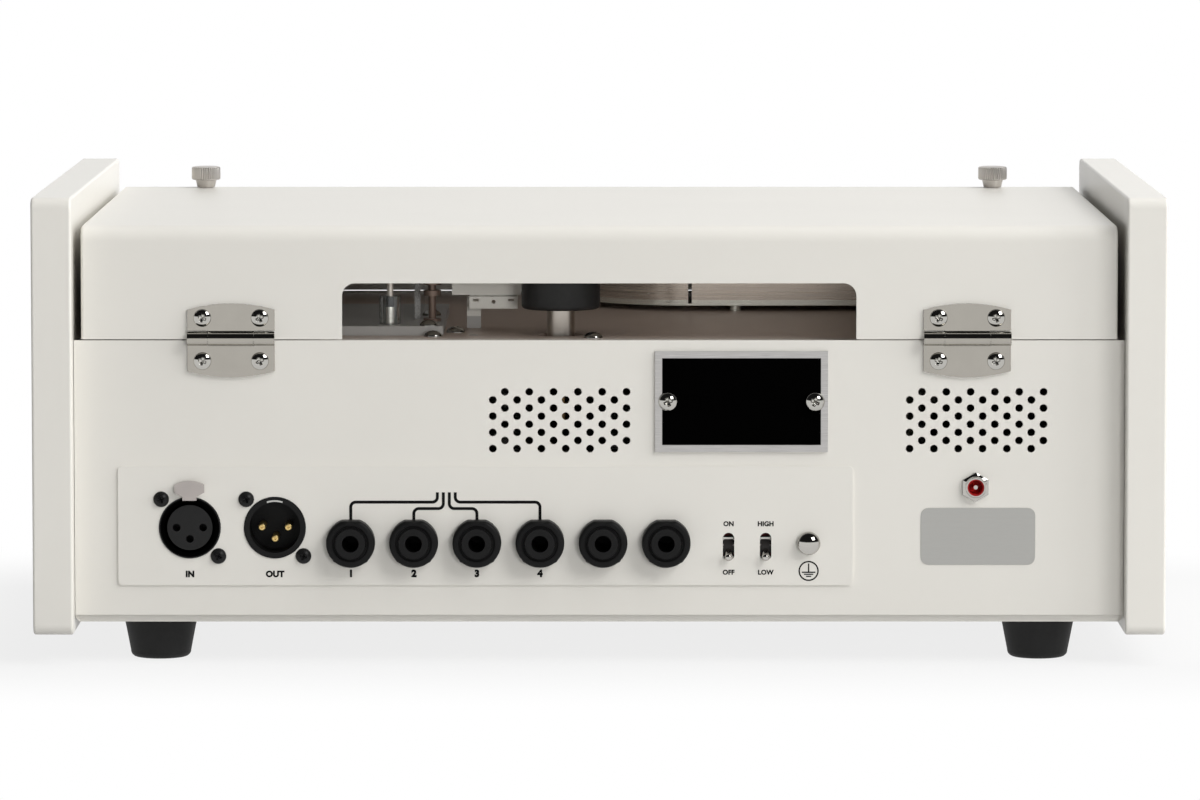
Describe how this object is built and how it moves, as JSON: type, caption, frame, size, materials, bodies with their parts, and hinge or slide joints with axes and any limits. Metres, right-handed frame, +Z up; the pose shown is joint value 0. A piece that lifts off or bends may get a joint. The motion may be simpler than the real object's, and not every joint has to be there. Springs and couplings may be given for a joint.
{
  "type": "tape echo unit",
  "caption": "Desktop tape echo unit: painted case between two side cheeks, hinged lid with rear window over a tape transport, connectors behind and controls in front.",
  "frame": {"origin": "on the floor, under the middle of the overall box (feet, cheeks and knobs)", "axes": "+X to the right seen from the control panel, +Y to the connector panel at the back, +Z up"},
  "size_m": [0.436, 0.2948, 0.1806],
  "materials": {
    "cream_paint": "fine matt powder coat",
    "cheek_paint": "satin lacquer on board",
    "satin_nickel": "satin nickel plate",
    "bright_chrome": "polished",
    "machined_steel": "turned",
    "brushed_aluminium": "brushed",
    "black_plastic": "fine matt",
    "grey_plastic": "satin",
    "red_plastic": "gloss",
    "gold_contact": "gold plated",
    "black_rubber": "matt",
    "black_steel": "black finish",
    "clear_plastic": "clear acrylic",
    "lamp_red": "translucent red",
    "board_green": "solder mask",
    "grey_paint": "satin",
    "bronze": "sintered bronze",
    "tape_brown": "oxide coated film"
  },
  "bodies": {
    "chassis": {"base_tray": "cream_paint", "capstan_bearing": "bronze", "chassis_screws": "satin_nickel", "clear_covers": "clear_plastic", "connector_plate": "cream_paint", "control_pots": "machined_steel", "dc_inlet_barrel": "bright_chrome", "dc_inlet_insulator": "red_plastic", "deck_plate": "grey_paint", "drive_belt": "black_rubber", "drive_motor": "machined_steel", "front_panel": "cream_paint", "head_plate": "grey_paint", "hinge_base_leaves": "satin_nickel", "hinge_base_screws": "satin_nickel", "hinge_pins": "machined_steel", "jack_nuts": "black_plastic", "jack_sockets": "black_plastic", "lid_pillars": "machined_steel", "main_board": "board_green", "meter_case": "black_plastic", "meter_window": "clear_plastic", "name_plate": "brushed_aluminium", "pilot_lamp": "lamp_red", "rear_panel": "cream_paint", "rubber_feet": "black_rubber", "side_cheek_left": "cheek_paint", "side_cheek_right": "cheek_paint", "tape_guides": "bright_chrome", "tape_heads": "machined_steel", "tape_loop": "tape_brown", "tape_tank": "brushed_aluminium", "toggle_switch_bodies": "black_plastic", "xlr_input_socket": "black_plastic", "xlr_output_pins": "gold_contact", "xlr_output_socket": "black_plastic", "xlr_screws": "black_steel"},
    "lid": {"lid_shell": "cream_paint", "hinge_lid_leaves": "satin_nickel", "hinge_lid_screws": "satin_nickel"},
    "thumbscrew_left": {"lid_thumbscrew_left": "bright_chrome"},
    "thumbscrew_right": {"lid_thumbscrew_right": "bright_chrome"},
    "release_tab": {"xlr_release_tab": "grey_plastic"},
    "tape_stop_switch": {"tape_stop_lever": "bright_chrome"},
    "output_level_switch": {"output_level_lever": "bright_chrome"},
    "earth_screw": {"earth_terminal": "bright_chrome"},
    "needle": {"meter_needle": "black_steel"},
    "power_switch": {"power_lever": "bright_chrome"},
    "mode_selector": {"mode_selector_knob": "black_plastic"},
    "capstan_drive": {"capstan": "machined_steel"},
    "pulley": {"motor_pulley": "bronze"},
    "pinch_lever": {"pinch_arm": "machined_steel"},
    "pinch_wheel": {"pinch_roller": "black_rubber"},
    "input_one_control": {"input_one_knob": "black_plastic"},
    "input_two_control": {"input_two_knob": "black_plastic"},
    "bass_control": {"bass_knob": "black_plastic"},
    "treble_control": {"treble_knob": "black_plastic"},
    "echo_volume_control": {"echo_volume_knob": "black_plastic"},
    "repeats_control": {"repeats_knob": "black_plastic"},
    "tape_speed_control": {"tape_speed_knob": "black_plastic"}
  },
  "joints": [
    {"name": "lid_hinge", "type": "hinge", "parent": "chassis", "child": "lid", "pos_m": [0, 0.1414, 0.1261], "axis": [-1, 0, 0], "range_deg": [0, 100]},
    {"name": "thumbscrew_left_turn", "type": "hinge", "parent": "lid", "child": "thumbscrew_left", "pos_m": [-0.1648, -0.1136, 0.1693], "axis": [0, 0, 1], "continuous": true},
    {"name": "thumbscrew_right_turn", "type": "hinge", "parent": "lid", "child": "thumbscrew_right", "pos_m": [0.1648, -0.1136, 0.1693], "axis": [0, 0, 1], "continuous": true},
    {"name": "release_tab_push", "type": "slide", "parent": "chassis", "child": "release_tab", "axis": [0, -1, 0], "range_m": [0, 0.001], "stiffness_N_per_m": 400, "springref_m": -0.001},
    {"name": "tape_stop_throw", "type": "hinge", "parent": "chassis", "child": "tape_stop_switch", "pos_m": [-0.0499, 0.1319, 0.0454], "axis": [1, 0, 0], "range_deg": [0, 42]},
    {"name": "output_level_throw", "type": "hinge", "parent": "chassis", "child": "output_level_switch", "pos_m": [-0.0642, 0.1319, 0.0454], "axis": [1, 0, 0], "range_deg": [0, 42]},
    {"name": "power_throw", "type": "hinge", "parent": "chassis", "child": "power_switch", "pos_m": [-0.084, -0.1191, 0.042], "axis": [-1, 0, 0], "range_deg": [0, 42]},
    {"name": "earth_screw_turn", "type": "hinge", "parent": "chassis", "child": "earth_screw", "pos_m": [-0.0808, 0.1384, 0.0469], "axis": [0, 1, 0], "continuous": true},
    {"name": "needle_swing", "type": "hinge", "parent": "chassis", "child": "needle", "pos_m": [-0.104, -0.1256, 0.072], "axis": [0, 1, 0], "range_deg": [0, 84], "stiffness_Nm_per_rad": 0.0001, "springref_deg": -17.19},
    {"name": "mode_selector_turn", "type": "hinge", "parent": "chassis", "child": "mode_selector", "pos_m": [-0.008, -0.1256, 0.069], "axis": [0, 1, 0], "range_deg": [-150, 150]},
    {"name": "input_one_control_turn", "type": "hinge", "parent": "chassis", "child": "input_one_control", "pos_m": [-0.168, -0.1256, 0.092], "axis": [0, 1, 0], "range_deg": [-150, 150]},
    {"name": "input_two_control_turn", "type": "hinge", "parent": "chassis", "child": "input_two_control", "pos_m": [-0.168, -0.1256, 0.046], "axis": [0, 1, 0], "range_deg": [-150, 150]},
    {"name": "bass_control_turn", "type": "hinge", "parent": "chassis", "child": "bass_control", "pos_m": [0.066, -0.1256, 0.092], "axis": [0, 1, 0], "range_deg": [-150, 150]},
    {"name": "treble_control_turn", "type": "hinge", "parent": "chassis", "child": "treble_control", "pos_m": [0.108, -0.1256, 0.092], "axis": [0, 1, 0], "range_deg": [-150, 150]},
    {"name": "echo_volume_control_turn", "type": "hinge", "parent": "chassis", "child": "echo_volume_control", "pos_m": [0.15, -0.1256, 0.092], "axis": [0, 1, 0], "range_deg": [-150, 150]},
    {"name": "repeats_control_turn", "type": "hinge", "parent": "chassis", "child": "repeats_control", "pos_m": [0.066, -0.1256, 0.046], "axis": [0, 1, 0], "range_deg": [-150, 150]},
    {"name": "tape_speed_control_turn", "type": "hinge", "parent": "chassis", "child": "tape_speed_control", "pos_m": [0.108, -0.1256, 0.046], "axis": [0, 1, 0], "range_deg": [-150, 150]},
    {"name": "capstan_spin", "type": "hinge", "parent": "chassis", "child": "capstan_drive", "pos_m": [0.015, 0.07915, 0.074], "axis": [0, 0, 1], "continuous": true},
    {"name": "pulley_spin", "type": "hinge", "parent": "chassis", "child": "pulley", "pos_m": [0.092, 0.0504, 0.074], "axis": [0, 0, 1], "continuous": true},
    {"name": "pinch_lever_swing", "type": "hinge", "parent": "chassis", "child": "pinch_lever", "pos_m": [0.049, 0.1034, 0.121], "axis": [0, 0, -1], "range_deg": [0, 8], "stiffness_Nm_per_rad": 0.05, "springref_deg": -5.73},
    {"name": "pinch_wheel_spin", "type": "hinge", "parent": "pinch_lever", "child": "pinch_wheel", "pos_m": [0.015, 0.0984, 0.143], "axis": [0, 0, 1], "continuous": true}
  ],
  "couplings": [
    {"joint": "pulley_spin", "follows": "capstan_spin", "ratio": 5.1429},
    {"joint": "pinch_wheel_spin", "follows": "capstan_spin", "ratio": -0.19544}
  ]
}
